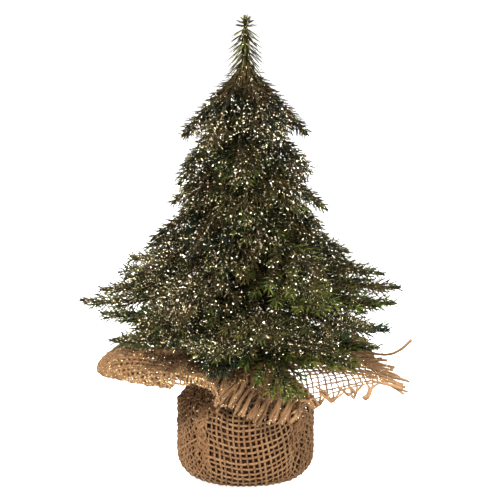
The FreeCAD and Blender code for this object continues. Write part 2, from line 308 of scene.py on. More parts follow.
def stem_material():
    """Bare arms and hubs: dark brown-green moulded plastic, dusted with glitter."""
    material, tree, shader = new_material("stems")
    place = object_place(tree)
    patch = ramp(tree, noise(tree, place, 260.0, 4.0), 0.35, 0.65)
    body = mixed(tree, patch, (0.004, 0.004, 0.002), (0.016, 0.012, 0.005))
    value, colour = glitter_cells(tree, place, 0.32)
    flake = sums(tree, "LESS_THAN", value, 0.05)
    feed(tree, shader, {
        "Base Color": mixed(tree, flake, body, (0.72, 0.55, 0.32)),
        "Metallic": flake,
        "Roughness": 0.60,
        "Normal": tilted_normal(tree, colour, product(tree, flake, 1.2)),
        "Specular IOR Level": 0.06,
    })
    return material


def jute_material():
    """Spun jute: twisted fibres along each yarn, uneven tan and brown, and glitter that fell on the collar."""
    material, tree, shader = new_material("jute_yarn")
    tint = node(tree, "ShaderNodeAttribute", attribute_name="tint").outputs["Color"]
    split = node(tree, "ShaderNodeSeparateColor", {"Color": tint})
    shade, gilded, worn = split.outputs[0], split.outputs[1], split.outputs[2]
    along = node(tree, "ShaderNodeUVMap", uv_map="yarn").outputs[0]
    spun = {"Vector": along, "Scale": 1.6, "Distortion": 3.0, "Detail": 3.0}
    twist = node(tree, "ShaderNodeTexWave", spun, bands_direction="DIAGONAL").outputs["Fac"]
    place = object_place(tree)
    fibre = noise(tree, place, 2600.0, 3.0)
    hairs = product(tree, ramp(tree, fibre, 0.50, 0.75), 0.40)
    blotch = ramp(tree, noise(tree, place, 70.0, 2.0), 0.40, 0.66)
    body = mixed(tree, shade, (0.066, 0.031, 0.0120), (0.168, 0.093, 0.043))
    body = mixed(tree, blotch, body, (0.104, 0.048, 0.019))
    body = mixed(tree, product(tree, twist, 0.50), body, (0.022, 0.009, 0.0035))
    body = mixed(tree, hairs, body, (0.265, 0.152, 0.075))
    body = mixed(tree, product(tree, worn, 0.55), body, (0.235, 0.138, 0.068))
    value, colour = glitter_cells(tree, place, 0.34)
    flake = sums(tree, "LESS_THAN", value, product(tree, gilded, 0.13))
    bump = node(tree, "ShaderNodeBump", {
        "Height": sums(tree, "ADD", twist, fibre),
        "Strength": 0.5,
        "Distance": 0.12 * MM,
        "Normal": tilted_normal(tree, colour, product(tree, flake, 1.2)),
    })
    feed(tree, shader, {
        "Base Color": mixed(tree, flake, body, (0.85, 0.64, 0.32)),
        "Metallic": flake,
        "Roughness": sums(tree, "SUBTRACT", 0.86, product(tree, flake, 0.60)),
        "Normal": bump.outputs[0],
        "Specular IOR Level": 0.1,
    })
    return material


def speckled_material(name, dark, light, scale, roughness, metallic=0.0, bump_mm=0.05, gloss=0.5):
    """A hard material with uneven colour and a fine rough surface."""
    material, tree, shader = new_material(name)
    grain = noise(tree, object_place(tree), scale, 6.0)
    swing = 0.3
    uneven = {0: grain, 1: swing, 2: roughness - swing / 2}
    bump = node(tree, "ShaderNodeBump", {"Height": grain, "Strength": 0.4, "Distance": bump_mm * MM})
    feed(tree, shader, {
        "Base Color": mixed(tree, ramp(tree, grain, 0.35, 0.65), dark, light),
        "Metallic": metallic,
        "Roughness": node(tree, "ShaderNodeMath", uneven, operation="MULTIPLY_ADD").outputs[0],
        "Normal": bump.outputs[0],
        "Specular IOR Level": gloss,
    })
    return material


def new_object(name, data):
    made = bpy.data.objects.new(name, data)
    bpy.context.scene.collection.objects.link(made)
    return made


def paint(node_name, material):
    for slot in frame["nodes"][node_name].material_slots:
        slot.material = material


# ------------------------ meshes


def mesh_piece(name, points, faces, materials, body, tint=None, kinds=None, smooth=True):
    """A mesh object from points in mm, riding on a body. faces is a list of index arrays, each with one width,
    and kinds is each face's material."""
    mesh = bpy.data.meshes.new(name)
    corners = np.concatenate([f.ravel() for f in faces]).astype(np.int32)
    sizes = np.concatenate([np.full(len(f), f.shape[1]) for f in faces])
    starts = np.concatenate([[0], np.cumsum(sizes)[:-1]]).astype(np.int32)
    mesh.vertices.add(len(points))
    mesh.vertices.foreach_set("co", (np.asarray(points) * MM).astype(np.float32).ravel())
    mesh.loops.add(len(corners))
    mesh.loops.foreach_set("vertex_index", corners)
    mesh.polygons.add(len(sizes))
    mesh.polygons.foreach_set("loop_start", starts)
    if kinds is not None:
        mesh.polygons.foreach_set("material_index", np.asarray(kinds, np.int32))
    mesh.update(calc_edges=True)
    mesh.validate()
    if smooth:
        mesh.shade_smooth()
    else:
        mesh.shade_flat()
    if tint is not None:
        layer = mesh.color_attributes.new("tint", "FLOAT_COLOR", "POINT")
        missing = np.ones((len(tint), 4 - tint.shape[1]))
        rgba = np.concatenate([np.clip(tint, 0, 1), missing], axis=1)
        layer.data.foreach_set("color", rgba.astype(np.float32).ravel())
    for material in materials:
        mesh.materials.append(material)
    piece = new_object(name, mesh)
    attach(piece, body)
    return piece


def unit(v):
    return v / np.maximum(np.linalg.norm(v, axis=-1, keepdims=True), 1e-9)


class Profile:
    """The arc that a whorl's arms follow, as height against radius, in mm. It is part.py's own."""

    def __init__(self, hub_z, length, leave, reach):
        self.z, self.length = hub_z, length
        self.leave, self.turn = math.radians(leave), math.radians(reach - leave)
        self.size = self.length / self.turn

    def point(self, s, azimuth):
        angle = self.leave + self.turn * s / self.length
        r = ARM_ROOT_R + self.size * (np.sin(angle) - math.sin(self.leave))
        z = self.z - self.size * (np.cos(angle) - math.cos(self.leave))
        return np.stack([r * math.cos(azimuth), r * math.sin(azimuth), z + 0 * r], axis=-1)

    def settled(self, p):
        """Points moved up or down onto the surface that the arc sweeps."""
        r = np.hypot(p[..., 0], p[..., 1])
        sine = math.sin(self.leave) + (r - ARM_ROOT_R) / self.size
        z = self.z - self.size * (np.sqrt(np.maximum(0, 1 - sine**2)) - math.cos(self.leave))
        return np.stack([p[..., 0], p[..., 1], z], axis=-1)


def stems(number, hub_z):
    """Centrelines of a whorl's arms and side shoots, as part.py makes them: a list of (arm, points, is_arm)."""
    count, length, leave, reach, first = ARMS[number - 1]
    for i in range(count):
        profile = Profile(hub_z, length, leave, reach)
        wave = math.sin(2.4 * i + 1.7 * number)
        azimuth = math.radians(first + 360 * i / count) + ARM_TURN_SWING * math.cos(1.9 * i + number)
        span = length * (1 - ARM_LENGTH_SWING * (1 + wave))
        if number == len(ARMS) and i in CLOTH_ARMS:
            span, leaves_at, reaches_at, turned_to = CLOTH_ARMS[i]
            profile = Profile(hub_z, span, leaves_at, reaches_at)
            azimuth = math.radians(turned_to)
        yield i, profile.point(np.linspace(0, span, 64), azimuth), True
        side = np.array([-math.sin(azimuth), math.cos(azimuth), 0])
        for along, share, angle in SIDE_SHOOTS:
            for hand in (1, -1):
                leaves = (along + hand * SHOOT_STAGGER) * span
                root = profile.point(np.array([leaves]), azimuth)[0]
                slope = profile.leave + profile.turn * leaves / profile.length
                flat = math.cos(slope)
                ahead = np.array([flat * math.cos(azimuth), flat * math.sin(azimuth), math.sin(slope)])
                reach_out = share * span * (1 + SHOOT_LENGTH_SWING * hand * wave)
                turn = math.radians(angle)
                end = root + (ahead * math.cos(turn) + side * hand * math.sin(turn)) * reach_out
                end = profile.settled(end)
                yield i, root + (end - root) * np.linspace(0, 1, 24)[:, None], False


def distances(line):
    """How far along a line each of its points is."""
    return np.concatenate([[0], np.cumsum(np.linalg.norm(np.diff(line, axis=0), axis=1))])


def interpolated(at, along, values):
    """Vectors given at the places along, read at the places at."""
    return np.stack([np.interp(at, along, values[:, k]) for k in range(3)], axis=1)


def frames_along(line):
    """Tangent, side and up vectors at each point of a line. The side vector stays level where it can."""
    tangent = unit(np.gradient(line, axis=0))
    level = np.cross(tangent, UP)
    sideways = np.cross(UP, unit(line * (1, 1, 0)))
    side = np.where(np.linalg.norm(level, axis=1, keepdims=True) > 0.15, level, sideways)
    side = unit(side - tangent * (side * tangent).sum(1, keepdims=True))
    return tangent, side, np.cross(side, tangent)


def needle_points(root, tangent, out, length, lean, lean_tip, stout):
    """Each needle's points: a flat four-cornered root, a waist and a tip."""
    first, last = (
        unit(tangent * np.cos(angle)[:, None] + out * np.sin(angle)[:, None]) for angle in (lean, lean_tip)
    )
    waist = root + first * (0.5 * length)[:, None]
    tip = waist + last * (0.5 * length)[:, None]
    broad = unit(np.cross(first, out) + 1e-6)
    deep = np.cross(broad, first)
    rings = []
    for middle, grow in ((root, 0.75 * stout), (waist, stout)):
        for a, b in ((1, 0), (0, 1), (-1, 0), (0, -1)):
            rings.append(middle + grow * (a * NEEDLE_HALF_WIDTH * broad + b * NEEDLE_HALF_DEPTH * deep))
    return np.stack(rings + [tip], axis=1)


NEEDLE_QUADS = np.array([[0, 3, 2, 1]] + [[k, (k + 1) % 4, 4 + (k + 1) % 4, 4 + k] for k in range(4)])
NEEDLE_TRIS = np.array([[4 + k, 4 + (k + 1) % 4, 8] for k in range(4)])
# The needles' colour attribute holds how pale they are, with painted shade towards the trunk, how green and how
# dusted they are, and 1 less how blue
GREEN, DUST = 1, 2


class Sprays:
    """Collects needles and flakes for one piece."""

    def __init__(self, seed):
        self.random = np.random.default_rng(seed)
        self.needles, self.tints = [], []

    def needle_rows(
        self, root, tangent, out, length, lean, lean_tip, fresh, dust, cool=0.0, pale=1.0, stout=1.0
    ):
        n = len(root)
        points = needle_points(root, tangent, out, length, lean, lean_tip, stout)
        warm = np.full(n, 1.0 - cool)
        # The first channel is random tone times pale, and pale carries the painted shade of needles near the
        # trunk
        tint = np.stack([self.random.random(n) ** 2 * pale, fresh, dust, warm], axis=1)
        tint = np.repeat(tint[:, None], NEEDLE_POINTS, axis=1)
        # Needles are darker where they leave the stem, and take more glitter near their points
        tint[:, :4, GREEN] *= 0.4
        tint[:, :4, DUST] *= 0.5
        self.needles.append(points)
        self.tints.append(tint)

    def clothe(self, line, stem_r, green, cool, dusted, pale, bare):
        """Rings of needles along a stem, pointing to its tip and shorter near it. bare is the share of the stem
        that has none, from its root."""
        along = distances(line)
        length = along[-1]
        rings = math.ceil(length * (1 - bare) / RING_STEP) + 1
        ring = np.repeat(np.arange(rings), RING_NEEDLES)
        count = len(ring)
        at = length * (bare + (1 - bare) * ring / (rings - 1)) + self.random.normal(0, 0.14, count)
        at = np.clip(at, 0, length)
        root = interpolated(at, along, line)
        tangent, side, up = (unit(interpolated(at, along, f)) for f in frames_along(line))
        turn = math.tau * (np.tile(np.arange(RING_NEEDLES), rings) + 0.5 * (ring % 2)) / RING_NEEDLES
        turn = turn + self.random.normal(0, 0.16, count)
        out = up * np.cos(turn)[:, None] + side * np.sin(turn)[:, None]
        root = root + out * 0.6 * stem_r
        left = (length - at) / length
        taper = np.clip(TAPER_FROM + (length - at) / TAPER_SLOPE, 0, 1)
        size = NEEDLE_LENGTH * taper * self.random.uniform(*LENGTH_RANGE, count)
        closing = CLOSED + (1 - CLOSED) * np.clip((length - at) / CLOSING_LENGTH, 0, 1)
        lean = NEEDLE_LEAN * closing + self.random.normal(0, 0.08, count)
        lean_tip = lean - (NEEDLE_LEAN - NEEDLE_LEAN_TIP) + self.random.normal(0, 0.08, count)
        # Fresh green and blue show towards the stem's tip
        tips = np.clip(1.15 - left * 2.2, 0, 1)
        # Near the trunk the needles' colour is darkened as painted shade, and they take less glitter
        inside = np.clip(1.25 - np.hypot(root[:, 0], root[:, 1]) / INSIDE_R, 0, 1)
        fresh = np.clip(green * (0.15 + 0.85 * tips) + self.random.normal(0, 0.05, count), 0, 1)
        dust = np.clip(dusted * (0.75 + 0.5 * np.cos(turn)) * (1 - 0.55 * green * tips) * (1 - inside), 0, 1)
        shade = pale * (1 - 0.95 * inside)
        self.needle_rows(root, tangent, out, size, lean, lean_tip, fresh, dust, cool * tips, shade)

    def piece(self, name, body, flakes, drop):
        """The collected needles as one mesh, with loose flakes stuck to them."""
        needles, tints = np.concatenate(self.needles), np.concatenate(self.tints)
        n = len(needles)
        base = NEEDLE_POINTS * np.arange(n)[:, None, None]
        quads = (base + NEEDLE_QUADS).reshape(-1, 4)
        tris = (base + NEEDLE_TRIS).reshape(-1, 3)
        held = tints[:, -1, DUST] + 0.02
        pick = self.random.choice(n, flakes, p=held / held.sum())
        share = self.random.random((flakes, 1))
        lower, upper = needles[pick, 4:8].mean(axis=1), needles[pick, -1]
        middle = lower + (upper - lower) * share * 0.8
        middle = middle + self.random.normal(0, drop, (flakes, 3))
        flake_points, flake_tris = flake_mesh(middle, self.random)
        points = np.concatenate([needles.reshape(-1, 3), flake_points])
        tint = np.concatenate([tints.reshape(-1, 4), np.full((len(flake_points), 4), 0.5)])
        kinds = np.concatenate([np.zeros(len(quads)), np.zeros(len(tris)), np.ones(len(flake_tris))])
        faces = [quads, tris, flake_tris + NEEDLE_POINTS * n]
        return mesh_piece(name, points, faces, [NEEDLES, FLAKES], body, tint, kinds, smooth=False)


def flake_mesh(middle, random):
    """Thin six-pointed chips of glitter at random angles, as flattened octahedra."""
    n = len(middle)
    a = unit(random.normal(size=(n, 3)))
    b = unit(np.cross(a, random.normal(size=(n, 3))))
    c = np.cross(a, b)
    size = FLAKE_R * random.uniform(0.7, 1.25, (n, 1))
    ends = [middle + a * size, middle + b * size, middle - a * size, middle - b * size]
    ends += [middle + c * size * 0.25, middle - c * size * 0.25]
    points = np.stack(ends, axis=1).reshape(-1, 3)
    tris = [[k, (k + 1) % 4, 4] for k in range(4)] + [[(k + 1) % 4, k, 5] for k in range(4)]
    return points, (6 * np.arange(n)[:, None, None] + np.array(tris)).reshape(-1, 3)


# ------------------------ foliage


def whorl_foliage(number):
    """One whorl's needles. They ride with it and stand on its CAD arms, which stay as the stems."""
    body = f"whorl_{number:02d}"
    joint = next(j for j in frame["record"]["behaviour"]["joints"] if j["child"] == body)
    hub_z = joint["pos_m"][2] / MM
    spray = Sprays(seed=number)
    mood = np.random.default_rng(100 + number)
    low = (number - 1) / (len(ARMS) - 1)
    for arm, line, is_arm in stems(number, hub_z):
        if is_arm:
            # An arm and its side shoots are alike. A few are fresh green, more of them near the bottom
            sprig_green = mood.normal(0.14 * low, 0.16)
            sprig_dust = mood.normal(0.80 - 0.25 * low, 0.30)
            sprig_cool = mood.normal(-0.1, 0.25)
            sprig_pale = mood.uniform(0.15, 1.0)
        green = np.clip(sprig_green + mood.normal(0, 0.06), 0, 0.40)
        dusted = np.clip(sprig_dust + mood.normal(0, 0.12), 0.04, 1)
        cool = np.clip(sprig_cool, 0, 0.6)
        pale = np.clip(sprig_pale + mood.normal(0, 0.15), 0.1, 1)
        if (number, arm) in ODD_SPRIGS:
            green, cool, dusted = ODD_SPRIGS[number, arm]
            pale = ODD_PALE
        stem_r, bare = (ARM_R, 0.03) if is_arm else (SHOOT_R, 0.05)
        spray.clothe(line, stem_r, green, cool, dusted, pale, bare)
    spray.piece(f"{body}_needles", body, WHORL_FLAKES, drop=0.18)
    paint(body, STEMS)


def outwards(azimuth):
    return np.stack([np.cos(azimuth), np.sin(azimuth), 0 * azimuth], axis=1)


def between(ends, share):
    return ends[0] + (ends[1] - ends[0]) * share


def tip_foliage():
    """The cap's crown of short needles over a thin neck, and the leader's long needles that point down."""
    lo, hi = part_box("tip_cap")
    top, bottom = hi[2] / MM, lo[2] / MM
    spray = Sprays(seed=50)
    for level, (under, count, length, rise) in enumerate(CROWN):
        azimuth = math.tau * (np.arange(count) + 0.37 * level) / count
        out = outwards(azimuth)
        root = out * 0.4 + np.array([0, 0, top - under])
        lean = np.full(count, math.radians(90 - rise))
        size = length * spray.random.uniform(0.85, 1.1, count)
        fresh, dust = np.full(count, 0.10), np.full(count, 0.75)
        along = np.tile(UP, (count, 1))
        spray.needle_rows(root, along, out, size, lean, lean - 0.12, fresh, dust, stout=CROWN_STOUT)
    count = LEADER_ROW_NEEDLES
    for row in range(LEADER_ROWS):
        share = row / (LEADER_ROWS - 1)
        height = top - LEADER_UNDER - share * (top - LEADER_UNDER - bottom)
        azimuth = math.tau * (np.arange(count) + 0.5 * (row % 2)) / count
        out = outwards(azimuth + spray.random.normal(0, 0.08, count))
        root = out * 1.1 + np.array([0, 0, height])
        lean = np.full(count, math.radians(between(LEADER_LEAN, share))) + spray.random.normal(0, 0.05, count)
        size = between(LEADER_LENGTH, share) * spray.random.uniform(0.92, 1.08, count)
        fresh, dust = np.full(count, 0.04), np.full(count, 0.60)
        along = np.tile(-UP, (count, 1))
        spray.needle_rows(root, along, out, size, lean, lean - 0.05, fresh, dust, stout=LEADER_STOUT)
    spray.piece("tip_needles", "stand", TIP_FLAKES, drop=0.12)
    paint("tip_cap", STEMS)


# ------------------------ jute


class WrapShape:
    """The CAD shell that the cloth follows, read from its mesh."""

    def __init__(self):
        mesh = frame["nodes"]["jute_wrap"].data
        self.points = np.array([v.co for v in mesh.vertices]) / MM
        corners = [tuple(p) for p in self.points]
        self.tree = BVHTree.FromPolygons(corners, [tuple(p.vertices) for p in mesh.polygons])
        self.wall_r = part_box("base_cup")[1][0] / MM
        low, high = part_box("neck_tie")
        self.tie_z = (low[2] + high[2]) / 2 / MM
        self.neck_r = -low[0] / MM - TIE_THICK
        self.outline = self.sack_outline()

    def sack_outline(self):
        """Radius and height down the outside of the sack, from the middle of its underside up to the neck."""
        line = []
        middle = Vector((0, 0, 0.45 * self.tie_z))
        for angle in np.linspace(-90, 62, 77):
            a = math.radians(angle)
            ray = Vector((math.cos(a), 0, math.sin(a)))
            hit = self.tree.ray_cast(middle + ray * OVERHEAD, -ray)[0]
            if hit is not None and hit.z < self.tie_z - 1.8:
                line.append((hit.x, hit.z))
        line.append((self.neck_r, self.tie_z - 1.5))
        line.append((self.neck_r, self.tie_z + 3.4))
        return np.array(line)

    def nearest(self, p):
        """For each point, the nearest place on the sack's outline, the way out there, and how far out it is."""
        flat = np.stack([np.hypot(p[:, 0], p[:, 1]), p[:, 2]], axis=1)
        a, step = self.outline[:-1], np.diff(self.outline, axis=0)
        share = ((flat[:, None] - a) * step).sum(2) / (step**2).sum(1)
        place = a + np.clip(share, 0, 1)[:, :, None] * step
        best = ((flat[:, None] - place) ** 2).sum(2).argmin(1)
        place, step = place[np.arange(len(p)), best], step[best]
        outward = unit(np.stack([step[:, 1], -step[:, 0]], axis=1))
        return place, outward, ((flat - place) * outward).sum(1)

    def rim(self, azimuth):
        """The collar's outer radius at each azimuth."""
        r = np.hypot(self.points[:, 0], self.points[:, 1])
        collar = (self.points[:, 2] > COLLAR_Z) & (r > self.wall_r + 2.5)
        a = np.arctan2(self.points[collar, 1], self.points[collar, 0])
        count = 72
        bins = np.linspace(-math.pi, math.pi, count + 1)
        where = np.digitize(a, bins) - 1
        r = r[collar]
        most = np.array([r[where == k].max() if (where == k).any() else np.nan for k in range(count)])
        middle = (bins[:-1] + bins[1:]) / 2
        good = ~np.isnan(most)
        return np.interp(azimuth, middle[good], most[good], period=math.tau)

    def faces(self, x, y):
        """Heights of the collar's upper and lower faces over a point."""
        down = Vector((0, 0, -1))
        upper = self.tree.ray_cast(Vector((x, y, OVERHEAD)), down)[0]
        if upper is None:
            return self.tie_z, self.tie_z
        lower = self.tree.ray_cast(upper + down * 0.2, down)[0]
        return upper.z, lower.z if lower is not None else upper.z


def rising(value, start, width):
    """0 up to the start, and then up to 1 over the width."""
    return np.clip((value - start) / width, 0, 1)


def angle_between(a, b):
    return np.abs((a - b + math.pi) % math.tau - math.pi)


def bell(azimuth, middle, width):
    return np.exp(-((angle_between(azimuth, middle) / width) ** 2))


def moved_azimuth(azimuth, out, neck, corners):
    """Where each yarn crossing goes round the trunk. On the sack the upright yarns crowd into four gathers. On
    the collar the cloth's corners turn to the lobes and spread, and the middles of its edges crowd."""
    rise = rising(out, SACK_FROM, 30)
    sack = azimuth - rise * GATHER / 4 * np.sin(4 * (azimuth - GATHERED_AT))
    to_lobe, to_quarter = (
        np.interp(azimuth, corners, target - corners, period=math.tau)
        for target in (LOBES, np.arange(4) * math.pi / 2)
    )
    collar = azimuth + to_lobe + LOBE_SPREAD * np.sin(4 * (azimuth + to_quarter))
    spread = rising(out, 0.75 * neck, 0.25 * neck)
    return sack + spread * (collar - sack)


def start_shape(wrap, grid):
    """The cloth pulled up round the weight and spread above the tie, before it settles. Where the collar is
    longer than the room it has, its edge is folded under, but for the open flap."""
    x, y = grid[..., 0], grid[..., 1]
    out, azimuth = np.hypot(x, y), np.arctan2(y, x)
    line = wrap.outline
    along = distances(line)
    neck = along[-1]
    # The gathers pull the cloth up the sack, so that the yarns round it hang in arcs from one to the next
    up_the_sack = np.sin(math.pi * rising(out, SACK_FROM, neck - SACK_FROM))
    pulled = out + PULLED_UP * np.cos(4 * (azimuth - GATHERED_AT)) * up_the_sack
    r, z = np.interp(pulled, along, line[:, 0]), np.interp(pulled, along, line[:, 1])
    left, right, front, rear = x.min(), x.max(), y.min(), y.max()
    corners = np.arctan2([front, front, rear, rear], [left, right, right, left])
    moved = moved_azimuth(azimuth, out, neck, corners)
    half_x, half_y = np.where(x < 0, -left, right), np.where(y < 0, -front, rear)
    edge = 1 / np.maximum(np.abs(np.cos(azimuth)) / half_x, np.abs(np.sin(azimuth)) / half_y)
    inner = wrap.neck_r - 1
    rim, length = wrap.rim(moved), np.maximum(edge - neck, 1e-6)
    room = rim - inner
    roll = 1 - bell(moved, FLAP, 0.75)
    used = (out - neck) / length * (room + np.maximum(0, length - room) * roll)
    turn_r = np.maximum(FOLD_R * roll, 1e-3)
    straight = room - turn_r
    angle = np.clip((used - straight) / turn_r, 0, math.pi)
    back = np.maximum(0, used - straight - math.pi * turn_r)
    collar_r = inner + np.minimum(used, straight) + turn_r * np.sin(angle) - back
    under = (1 - np.cos(angle)) / 2
    collar = out > neck
    r = np.where(collar, collar_r, r)
    x, y = r * np.cos(moved), r * np.sin(moved)
    points = np.stack([x, y, z], axis=-1)
    # The spare cloth of the collar hangs in folds below its upper face, but hardly on the flap
    folds = 0.5 - 0.5 * np.cos(13 * azimuth + 1.3 * np.sin(3 * azimuth))
    depth = (0.2 + 0.6 * roll) * folds * rising(out, neck, 12)
    towards_rim = np.clip(used / straight, 0, 1) ** 5
    raised = RAISED * bell(moved, RAISED_AT, 0.36) * np.clip(r / rim, 0, 1) ** 5
    for index in zip(*np.nonzero(collar)):
        reach = min(1.0, (rim[index] - 1.2) / max(r[index], 1e-6))
        upper, lower = wrap.faces(x[index] * reach, y[index] * reach)
        # Where the shell is thinner than the fold, the fold's upper side stands proud of it
        thick = max(0, upper - lower - 2 * CLOTH_IN)
        proud = max(0, 1.7 * turn_r[index] - thick) * towards_rim[index] * (1 - under[index])
        points[index][2] = upper - CLOTH_IN + proud - thick * under[index] - depth[index] + raised[index]
    return points, out, neck


def link_batches(n):
    """Pairs of grid points that a link joins, in batches that share no point: along both yarns, across the
    meshes, and two apart for the cloth's stiffness. Each batch has its kind of link, and a link's length."""
    index = np.arange(n * n).reshape(n, n)
    batches = []
    steps = ((1, 0, "yarn"), (0, 1, "yarn"), (1, 1, "shear"), (1, -1, "shear"), (2, 0, "bend"), (0, 2, "bend"))
    for di, dj, kind in steps:
        for phase in range(2):
            r, c = np.meshgrid(np.arange(n - di), np.arange(max(0, -dj), n - max(0, dj)), indexing="ij")
            keep = (r // di if di else c // dj) % 2 == phase
            a = index[r[keep], c[keep]]
            b = index[r[keep] + di, c[keep] + dj]
            batches.append((a, b, kind, PITCH * math.hypot(di, dj)))
    return batches


def settle(wrap, grid):
    """Lets the cloth settle: its yarns keep their length, its meshes shear, it lies on the weight, the tie
    squeezes its neck, and its collar sags a little from where it was spread and is held."""
    points, out, neck = start_shape(wrap, grid)
    n = len(points)
    random = np.random.default_rng(7)
    start, far = points.reshape(-1, 3), out.ravel()
    p = start + random.normal(0, 0.15, start.shape)
    collar, body = far > neck + 2, far < neck - 4
    band = ~collar & ~body
    batches = link_batches(n)
    before = p.copy()
    for _ in range(STEPS):
        velocity = (p - before) * DAMPING
        before = p.copy()
        p = p + velocity
        p[collar, 2] -= SAG
        for a, b, kind, rest in batches:
            d = p[b] - p[a]
            long = np.linalg.norm(d, axis=1)
            short_pull, long_pull = STIFFNESS[kind]
            pull = np.where(long > rest, long_pull, short_pull)
            move = d * (pull * (long - rest) / np.maximum(long, 1e-6))[:, None]
            p[a] += move
            p[b] -= move
        # The sack lies on the weight, and stands off it a little in the gathers
        azimuth = np.arctan2(p[:, 1], p[:, 0])
        ridge = (0.5 + 0.5 * np.cos(4 * (azimuth - GATHERED_AT))) ** 3
        place, outward, depth = wrap.nearest(p)
        most = 0.15 + 1.3 * ridge * rising(far, 30, 20)
        kept = np.where(body, np.clip(depth, -CLOTH_IN, most - CLOTH_IN), np.maximum(depth, CLOTH_IN))
        # The collar only has to stay off the sack where it is beside it
        beside = body | (collar & (depth < CLOTH_IN) & (p[:, 2] < wrap.tie_z + 2))
        flat = place + outward * kept[:, None]
        scale = flat[:, 0] / np.maximum(np.hypot(p[:, 0], p[:, 1]), 1e-6)
        p[beside, :2] *= scale[beside, None]
        p[beside, 2] = flat[beside, 1]
        # The tie
        r = np.hypot(p[:, 0], p[:, 1])
        tight = np.clip(r, TIE_HOLE_R, wrap.neck_r - 0.9)
        p[band, :2] *= (tight[band] / np.maximum(r[band], 1e-6))[:, None]
        p[band, 2] += TIE_HOLD * (start[band, 2] - p[band, 2])
        p[collar] += COLLAR_HOLD * (start[collar] - p[collar])
    return separated(p, collar).reshape(n, n, 3)


def separated(p, collar):
    """Layers of the collar that lie in the same place are pushed a yarn's width apart."""
    index = np.nonzero(collar)[0]
    gap = 0.9 * (2.1 * YARN_R + 2 * CROSSING)
    for _ in range(PASSES):
        tree = KDTree(len(index))
        for k, i in enumerate(index):
            tree.insert(p[i], k)
        tree.balance()
        push = np.zeros_like(p)
        for i in index:
            row, column = divmod(int(i), YARNS)
            for place, other, away in tree.find_range(p[i], gap):
                other_row, other_column = divmod(int(index[other]), YARNS)
                if away > 1e-6 and abs(row - other_row) + abs(column - other_column) > 3:
                    push[i] += (p[i] - np.array(place)) / away * (gap - away) * PUSH
        p = p + np.clip(push, -MOST_PUSH, MOST_PUSH)
    return p


def sheet_normals(p):
    return unit(np.cross(np.gradient(p, axis=0), np.gradient(p, axis=1)))


def smooth_line(line, per_step):
    """The line with per_step points for each of its own, on a Catmull-Rom spline."""
    padded = np.concatenate([[2 * line[0] - line[1]], line, [2 * line[-1] - line[-2]]])
    t = np.linspace(0, 1, per_step, endpoint=False)[None, :, None]
    a, b, c, d = (padded[k : len(padded) - 3 + k][:, None] for k in range(4))
    spline = 0.5 * (2 * b + (c - a) * t + (2 * a - 5 * b + 4 * c - d) * t**2 + (3 * b - 3 * c + d - a) * t**3)
    return np.concatenate([spline.reshape(-1, line.shape[1]), line[-1:]])


def tube(line, radii, sides, start, hints):
    """Points, quads, end caps and UVs of a round yarn along a line. Its first point has the index start."""
    tangent = unit(np.gradient(line, axis=0))
    side = unit(np.cross(tangent, hints))
    top = np.cross(side, tangent)
    turn = math.tau * np.arange(sides) / sides
    ring = np.cos(turn)[None, :, None] * side[:, None] + np.sin(turn)[None, :, None] * top[:, None]
    points = line[:, None] + ring * radii[:, None, None]
    n = len(line)
    i, k = np.meshgrid(np.arange(n - 1), np.arange(sides), indexing="ij")
    here, after = i * sides + k, i * sides + (k + 1) % sides
    quads = np.stack([here, after, after + sides, here + sides], axis=-1)
    caps = np.array([np.arange(sides)[::-1], (n - 1) * sides + np.arange(sides)])
    far = distances(line)
    corner_u = np.stack([far[i], far[i], far[i + 1], far[i + 1]], axis=-1).reshape(-1, 4)
    corner_v = np.stack([k, k + 1, k + 1, k], axis=-1).reshape(-1, 4) / sides
    uv = np.stack([corner_u, corner_v], axis=-1)
    return points.reshape(-1, 3), quads.reshape(-1, 4) + start, caps + start, uv


def wandering(count, step, amount, random):
    """A value for each of count points that wanders about 0, with a fresh draw at every step points."""
    knots = np.arange(0, count + step, step)
    return np.interp(np.arange(count), knots, random.normal(0, amount, len(knots)))


def yarn_line(sheet, normal, way, i, random):
    """One yarn's middle line, its up vectors, and where it is loose. It goes over and under the others. Its end
    is loose where the cross yarns are pulled out: on part of the front edge, and all of the right edge."""
    n = YARNS
    middle, up = (sheet[i], normal[i]) if way == 0 else (sheet[:, i], normal[:, i])
    crossing = CROSSING * (-1.0) ** (np.arange(n) + i + way)
    loose = np.zeros(n)
    beside = middle
    lean = np.zeros(3)
    sway = np.zeros(n)
    if way == 0 and i >= FRAY_FROM:
        loose[:FRAY] = 1
        sway = np.cumsum(loose[::-1])[::-1] * loose
        lean = np.array([-1.6, 0.0, -0.05])
        beside = sheet[min(3 * (i // 3) + 1, n - 1)]  # loose ends gather in bundles of three
    elif way == 1:
        loose[-FRAY:] = 1
        sway = np.cumsum(loose) * loose
        lean = np.array([0.1, -0.35, -0.25])
    line = middle + up * (crossing * (1 - 0.8 * loose))[:, None]
    line = line + wandering(n, 7, WANDER, random)[:, None] * unit(np.cross(np.gradient(middle, axis=0), up))
    line = line + (0.75 * loose)[:, None] * (beside - middle)
    line = line + sway[:, None] * (lean + random.normal(0, 0.28, 3))
    line = line + random.normal(0, 0.05, (n, 3)) * (1 + 2 * loose)[:, None]
    return smooth_line(line, 2), smooth_line(up, 2), smooth_line(loose[:, None], 2)[:, 0]


class Yarns:
    """Collects yarn tubes for one mesh."""

    def __init__(self):
        self.tubes, self.total = [], 0

    def add(self, line, up, thick, tint):
        points, quads, caps, uv = tube(line, thick, YARN_SIDES, self.total, unit(up))
        self.total += len(points)
        self.tubes.append((points, quads, caps, uv, np.repeat(tint, YARN_SIDES, axis=0)))

    def piece(self, name):
        points, quads, caps, uv, tints = (np.concatenate(part) for part in zip(*self.tubes))
        piece = mesh_piece(name, points, [quads, caps], [JUTE], "stand", tints)
        layer = piece.data.uv_layers.new(name="yarn")
        flat = np.concatenate([uv.reshape(-1, 2), np.zeros((caps.size, 2))])
        layer.data.foreach_set("uv", flat.astype(np.float32).ravel())
        return piece


